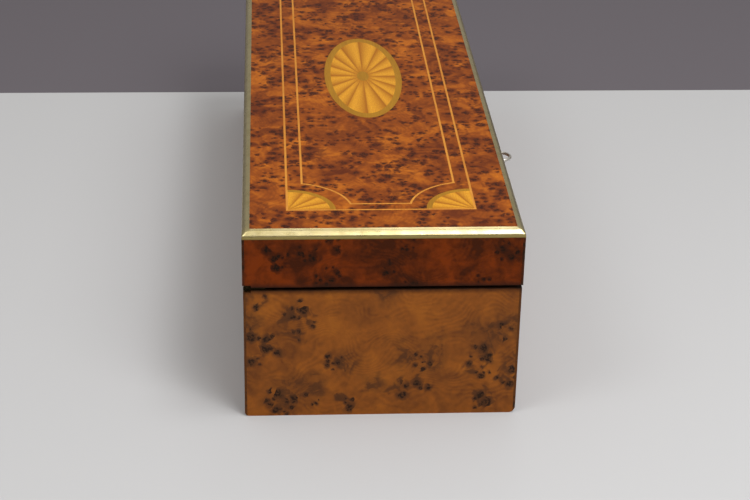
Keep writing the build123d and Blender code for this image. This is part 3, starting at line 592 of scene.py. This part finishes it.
def dress_metal():
    bright = brass("brass_edging", tone(212, 197, 148), tone(198, 182, 128), tone(178, 158, 98), 0.28)
    # The hinge's brass is aged and darkened further as painted shade, its ends nearly black with painted
    # shade.
    aged_and_shaded = brass("brass_aged_and_shaded", tone(150, 134, 86), tone(104, 92, 58), tone(70, 62, 38), 0.4, 0.9)
    for side in SIDES:
        dress(f"brass_edging_{side}", bright)
    for name in ("escutcheon", "lock_plate", "lock_cap", "link_plate", "lock_bolt", "lock_rotor"):
        dress(name, bright, METAL_ARRIS)
    for name in nodes:
        if "screws" in name or "hinge" in name or "pins" in name:
            dress(name, aged_and_shaded if "hinge" in name else bright)
    dress("key", steel())
    cloth = felt_cloth()
    for name in ("floor_felt", "lid_felt"):
        dress(name, cloth)


# ------------------------------------------------------------------ pieces in mesh code

def millimetres(node):
    """A node's lowest and highest corners."""
    low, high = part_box(node)
    return low / MM, high / MM


def piece(name, form, material, body, slot, *nodes_replaced):
    """Turns a form measured in millimetres into a piece that rides on a body."""
    bmesh.ops.recalc_face_normals(form, faces=form.faces)
    bmesh.ops.scale(form, vec=(MM, MM, MM), verts=form.verts)
    mesh = bpy.data.meshes.new(name)
    form.to_mesh(mesh)
    form.free()
    mesh.materials.append(bpy.data.materials[material])
    mesh.shade_smooth()
    mesh.set_sharp_from_angle(angle=math.radians(SMOOTH_BELOW))
    made = bpy.data.objects.new(name, mesh)
    bpy.context.scene.collection.objects.link(made)
    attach(made, body)
    if nodes_replaced:
        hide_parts(*nodes_replaced)
    return made


def bridge(form, ring, other):
    """Joins two rings of points, either of which may be a single point."""
    count = max(len(ring), len(other))
    for index in range(count):
        corners = [ring[index % len(ring)], ring[(index + 1) % len(ring)]]
        corners += [other[(index + 1) % len(other)], other[index % len(other)]]
        form.faces.new(dict.fromkeys(corners))


def turn(form, profile, place, along, sides=32):
    """Adds a turned form; profile is (radius, distance along its axis) from one end to the other."""
    along = Vector(along)
    side = along.orthogonal().normalized()
    other = along.cross(side)
    rings = []
    for radius, distance in profile:
        middle = Vector(place) + along * distance
        count = sides if radius else 1
        angles = [2 * math.pi * index / count for index in range(count)]
        points = [middle + (side * math.cos(a) + other * math.sin(a)) * radius for a in angles]
        rings.append([form.verts.new(point) for point in points])
    for ring, following in zip(rings, rings[1:]):
        bridge(form, ring, following)


def hoop(form, middle, radius, wire, rings=56, sides=14):
    """Adds a ring of round wire that lies flat; wire is the wire's radius."""
    loops = []
    for index in range(rings):
        angle = 2 * math.pi * index / rings
        outward = Vector((math.cos(angle), math.sin(angle), 0))
        loop = []
        for step in range(sides):
            lean = 2 * math.pi * step / sides
            offset = outward * (radius + wire * math.cos(lean)) + Vector((0, 0, wire * math.sin(lean)))
            loop.append(form.verts.new(Vector(middle) + offset))
        loops.append(loop)
    for loop, following in zip(loops, loops[1:] + loops[:1]):
        bridge(form, loop, following)


def rounded_block(form, low, high, edge):
    """Adds a block from its low corner to its high one, its arrises rounded by edge."""
    made = bmesh.ops.create_cube(form, size=1.0)
    bmesh.ops.scale(form, vec=Vector(high) - Vector(low), verts=made["verts"])
    bmesh.ops.translate(form, vec=(Vector(high) + Vector(low)) / 2, verts=made["verts"])
    edges = {e for vertex in made["verts"] for e in vertex.link_edges}
    bmesh.ops.bevel(form, geom=list(edges), offset=edge, segments=2, affect="EDGES")


def edging(side):
    """A filed brass bar: its flat slopes a little outwards, its arrises and mitred tips are worn."""
    low, high = millimetres(f"brass_edging_{side}")
    outer = Vector((millimetres("brass_edging_right")[1].x, millimetres("brass_edging_back")[1].y))
    depth = high.z - low.z
    section = [(EDGING_WIDTH, depth), (EDGING_WIDTH, 0.0), *EDGING_OUTLINE, (0.0, depth)]
    along, out = (outer.x, outer.y) if side in LONG_SIDES else (outer.y, outer.x)
    quarter_turns = SIDES.index(side)
    turned = Matrix.Rotation(math.pi / 2 * quarter_turns, 4, "Z")
    form = bmesh.new()
    rings = []
    shares = [2 * step / EDGING_STEPS - 1 for step in range(EDGING_STEPS + 1)]
    hip = 1 - HIP_WEAR / along
    shares[1:1] = [-hip]
    shares[-1:-1] = [hip]
    for step, share in enumerate(shares):
        filed = EDGING_WAVE * (1 + math.sin(step * 1.7 + quarter_turns))
        worn = HIP_SUNK if abs(share) == 1 else filed
        ring = []
        for inward, down in section:
            sunk = worn if 0 < down < depth else 0.0
            place = Vector((share * (along - inward), inward + sunk - out, high.z - down - sunk))
            ring.append(form.verts.new(turned @ place))
        rings.append(ring)
    for ring, following in zip(rings, rings[1:]):
        bridge(form, ring, following)
    form.faces.new(rings[0])
    form.faces.new(rings[-1])
    piece(f"edging_bar_{side}", form, "brass_edging", "lid", "brass", f"brass_edging_{side}")


def key():
    """A ring of round wire, a shank with a beaded collar against the escutcheon, and the bit."""
    low, high = millimetres("key")
    height = (low.z + high.z) / 2
    outer = (high.x - low.x) / 2
    ring_y = low.y + outer
    form = bmesh.new()
    hoop(form, (0, ring_y, height), outer - BOW_WIRE / 2, BOW_WIRE / 2)
    start = ring_y + outer - BOW_WIRE
    collar = millimetres("escutcheon")[0].y - KEYHOLE_PLAY
    tip, rounding = KEY_TIP
    profile = [(radius, start + along) for radius, along in BOW_BEADS]
    profile += [(radius, collar + along) for radius, along in COLLAR_BEADS]
    profile += [(SHANK, high.y - rounding), (tip, high.y), (0, high.y)]
    turn(form, profile, (0, 0, height), (0, 1, 0))
    bit_low, bit_high = (0, high.y - BIT_LENGTH, height - BIT_HALF), (BIT_REACH, high.y, height + BIT_HALF)
    rounded_block(form, bit_low, bit_high, BIT_EASE)
    piece("key_detail", form, "key_steel", "key", "nickel_steel", "key")


def escutcheon_pin_heads():
    """Domed heads over the escutcheon's two pins."""
    low, high = millimetres("escutcheon_pins")
    edge = (high.x - low.x) / 2
    form = bmesh.new()
    profile = [(0, -PIN_SUNK), (PIN_HEAD, -PIN_SUNK)]
    profile += [(PIN_HEAD * math.cos(a), PIN_DOME * math.sin(a)) for a in (0, 0.35, 0.7, 1.05, 1.35)]
    profile += [(0, PIN_DOME)]
    for z in (low.z + edge, high.z - edge):
        turn(form, profile, (0, low.y, z), (0, -1, 0), 24)
    piece("escutcheon_pin_heads", form, "brass_edging", "box", "brass")


def knuckles(name, first, body):
    """Round knuckles over the leaf's own, their ends a little eased."""
    low, high = millimetres("hinge_pin")
    middle = (low + high) / 2
    radius = middle.z - millimetres("hinge_body_leaf")[0].z + KNUCKLE_PROUD
    pitch = (high.x - low.x) / KNUCKLES
    bore = (high.z - low.z) / 2
    form = bmesh.new()
    for index in range(first, KNUCKLES, 2):
        start = low.x + index * pitch + KNUCKLE_GAP / 2
        end = start + pitch - KNUCKLE_GAP
        profile = [(bore, start), (radius - KNUCKLE_EASE, start), (radius, start + KNUCKLE_EASE)]
        profile += [(radius, end - KNUCKLE_EASE), (radius - KNUCKLE_EASE, end), (bore, end)]
        turn(form, profile, (0, middle.y, middle.z), (1, 0, 0), 28)
    piece(name, form, "brass_aged_and_shaded", body, "brass")


def hinge_pin():
    """A round pin with rounded ends."""
    low, high = millimetres("hinge_pin")
    middle = (low + high) / 2
    radius = (high.z - low.z) / 2 - PIN_PLAY
    form = bmesh.new()
    blunt, flat = radius * 0.6, 0.04
    profile = [(0, low.x), (blunt, low.x + flat), (radius, low.x + PIN_TIP)]
    profile += [(radius, high.x - PIN_TIP), (blunt, high.x - flat), (0, high.x)]
    turn(form, profile, (0, middle.y, middle.z), (1, 0, 0), 24)
    piece("hinge_pin_round", form, "brass_aged_and_shaded", "box", "brass", "hinge_pin")


def slotted_head(form, place, outward, turned, radius):
    """Two halves with eased rims and a slot between them, over a flat floor."""
    side = Matrix.Rotation(turned, 3, outward) @ outward.orthogonal().normalized()
    across = outward.cross(side)
    first = math.asin(1.1 * SLOT_HALF / radius)
    angles = [first + (math.pi - 2 * first) * step / HEAD_STEPS for step in range(HEAD_STEPS + 1)]
    for half in (-1, 1):
        rings = []
        for share, height in ((1.0, -SCREW_DEPTH), (1.0, -0.02), (0.94, 0.03)):
            reach = radius * share
            spots = [(reach * math.cos(a), max(reach * math.sin(a), SLOT_HALF)) for a in angles]
            points = [place + side * x + across * (y * half) + outward * height for x, y in spots]
            rings.append([form.verts.new(point) for point in points])
        for ring, following in zip(rings, rings[1:]):
            bridge(form, ring, following)
        form.faces.new(rings[-1])
    inner = radius - 0.02
    floor = [(0, -SCREW_DEPTH), (inner, -SCREW_DEPTH), (inner, -SLOT_DEPTH), (0, -SLOT_DEPTH)]
    turn(form, floor, place, outward)


def screws(node, count, rows, outward, body, material):
    """The slotted heads of one node's screws, evenly spaced between the first and the last."""
    low, high = millimetres(node)
    outward = Vector(outward)
    first, last = low.x + SCREW_EDGE, high.x - SCREW_EDGE
    heads_at = high if sum(outward) > 0 else low
    form = bmesh.new()
    for row in range(rows):
        for index in range(count):
            place = (low + high) / 2
            place.x = first + (last - first) * index / (count - 1)
            if outward.z:
                place.z = heads_at.z
            else:
                place.y = heads_at.y
                place.z = (low.z + SCREW_HEAD, high.z - SCREW_HEAD)[row]
            as_driven = 2.4 * index + 1.1 * row
            slotted_head(form, place, outward, as_driven, SCREW_HEAD + SCREW_PROUD)
    piece(f"{node}_slotted", form, material, body, "brass")


def pile_height(x, y, low, high):
    """How high a felt's top is at a place, as a share of its solid's thickness."""
    to_edge = min(x - low.x, high.x - x, y - low.y, high.y - y)
    along, across = math.sin(x * 0.11 + 1.3 * math.sin(y * 0.13)), math.sin(y * 0.19 + math.sin(x * 0.07))
    return FELT_LEVEL + FELT_WAVE * (along * across) - FELT_THIN * math.exp(-to_edge / FELT_EDGE)


def felt(node, up):
    """A sheet of felt glued down flat, thinner at its cut edges and nowhere quite level."""
    low, high = millimetres(node)
    columns, rows = FELT_GRID
    form = bmesh.new()
    ground, pile = (low.z, high.z) if up else (high.z, low.z)
    layers = []
    for top in (False, True):
        layer = []
        for row in range(rows + 1):
            for column in range(columns + 1):
                x = low.x + (high.x - low.x) * column / columns
                y = low.y + (high.y - low.y) * row / rows
                z = ground + (pile - ground) * pile_height(x, y, low, high) if top else ground
                layer.append(form.verts.new((x, y, z)))
        layers.append(layer)
    width = columns + 1
    for layer in layers:
        for row in range(rows):
            for column in range(columns):
                first = row * width + column
                corners = (first, first + 1, first + width + 1, first + width)
                form.faces.new([layer[corner] for corner in corners])
    rim = list(range(width)) + [row * width + columns for row in range(1, rows + 1)]
    rim += [rows * width + column for column in range(columns - 1, -1, -1)]
    rim += [row * width for row in range(rows - 1, 0, -1)]
    bridge(form, [layers[0][index] for index in rim], [layers[1][index] for index in rim])
    body = "box" if up else "lid"
    sheet = piece(f"{node}_sheet", form, "felt_cloth", body, "felt", node)


def small_parts():
    for side in SIDES:
        edging(side)
    key()
    escutcheon_pin_heads()
    knuckles("hinge_body_knuckles", 0, "box")
    knuckles("hinge_lid_knuckles", 1, "lid")
    hinge_pin()
    screws("hinge_body_screws", 5, 1, (0, 0, 1), "box", "brass_aged_and_shaded")
    screws("hinge_lid_screws", 5, 1, (0, 0, -1), "lid", "brass_aged_and_shaded")
    screws("selvedge_screws", 2, 1, (0, 0, 1), "box", "brass_edging")
    screws("link_plate_screws", 2, 1, (0, 0, -1), "lid", "brass_edging")
    screws("lock_plate_screws", 2, 2, (0, 1, 0), "box", "brass_edging")
    felt("floor_felt", True)
    felt("lid_felt", False)


# ------------------------------------------------------------------ stage

def flat_floor(name, x, y, height, material):
    """A flat sheet that isn't part of the object; x and y are from and to."""
    mesh = bpy.data.meshes.new(name)
    corners = [(x[0], y[0], height), (x[1], y[0], height), (x[1], y[1], height), (x[0], y[1], height)]
    mesh.from_pydata(corners, [], [(0, 1, 2, 3)])
    floor = bpy.data.objects.new(name, mesh)
    bpy.context.scene.collection.objects.link(floor)
    mesh.materials.append(material)


def stage():
    paper = Recipe("paper", Roughness=0.9, Specular_IOR_Level=0.2, Base_Color=tone(190, 190, 191))
    cloth = Recipe("backdrop", Roughness=0.95, Specular_IOR_Level=0.1, Base_Color=tone(105, 100, 105))
    width = (-STAGE_REACH, STAGE_REACH)
    flat_floor("floor", (-STAGE_REACH, PAPER_END), width, 0.0, paper.material)
    flat_floor("backdrop", (PAPER_END, STAGE_REACH), width, -CLOTH_DROP, cloth.material)


def lamp(name, place, size, power):
    """A round lamp that faces the frame's origin."""
    light = bpy.data.lights.new(name, "AREA")
    light.shape = "DISK"
    light.size = size
    light.energy = power
    holder = bpy.data.objects.new(name, light)
    holder.location = place
    holder.rotation_euler = Vector(place).to_track_quat("Z", "Y").to_euler()
    bpy.context.scene.collection.objects.link(holder)


def sky():
    """Pale overhead and dim towards the horizon, as in a room with a lit ceiling."""
    world = bpy.data.worlds.new("studio")
    bpy.context.scene.world = world
    world.use_nodes = True
    links, add = world.node_tree.links, world.node_tree.nodes.new
    direction = add("ShaderNodeTexCoord")
    parts = add("ShaderNodeSeparateXYZ")
    ramp = add("ShaderNodeValToRGB")
    while len(ramp.color_ramp.elements) < len(SKY):
        ramp.color_ramp.elements.new(0.5)
    for element, (height, level) in zip(ramp.color_ramp.elements, SKY):
        element.position = height
        element.color = (*(level * part for part in SKY_TINT), 1)
    links.new(direction.outputs["Generated"], parts.inputs[0])
    links.new(parts.outputs[2], ramp.inputs[0])
    links.new(ramp.outputs[0], world.node_tree.nodes["Background"].inputs["Color"])


def lights():
    for name, (place, size, power) in LAMPS.items():
        lamp(name, place, size, power)
    sky()


def camera():
    data = bpy.data.cameras.new("camera")
    data.lens = CAMERA_LENS
    data.sensor_width = CAMERA_SENSOR
    data.clip_end = CAMERA_SIGHT
    holder = bpy.data.objects.new("camera", data)
    bpy.context.scene.collection.objects.link(holder)
    turn = Matrix.Rotation(math.radians(CAMERA_HEADING), 4, "Z")
    dip = Matrix.Rotation(math.radians(90 - CAMERA_DIP), 4, "X")
    roll = Matrix.Rotation(math.radians(CAMERA_ROLL), 4, "Z")
    holder.matrix_world = Matrix.Translation(CAMERA_PLACE) @ turn @ dip @ roll
    bpy.context.scene.camera = holder


camera()
dress_veneers()
dress_core()
dress_inlay()
dress_metal()
small_parts()
stage()
lights()
bpy.context.scene.view_settings.view_transform = "Standard"
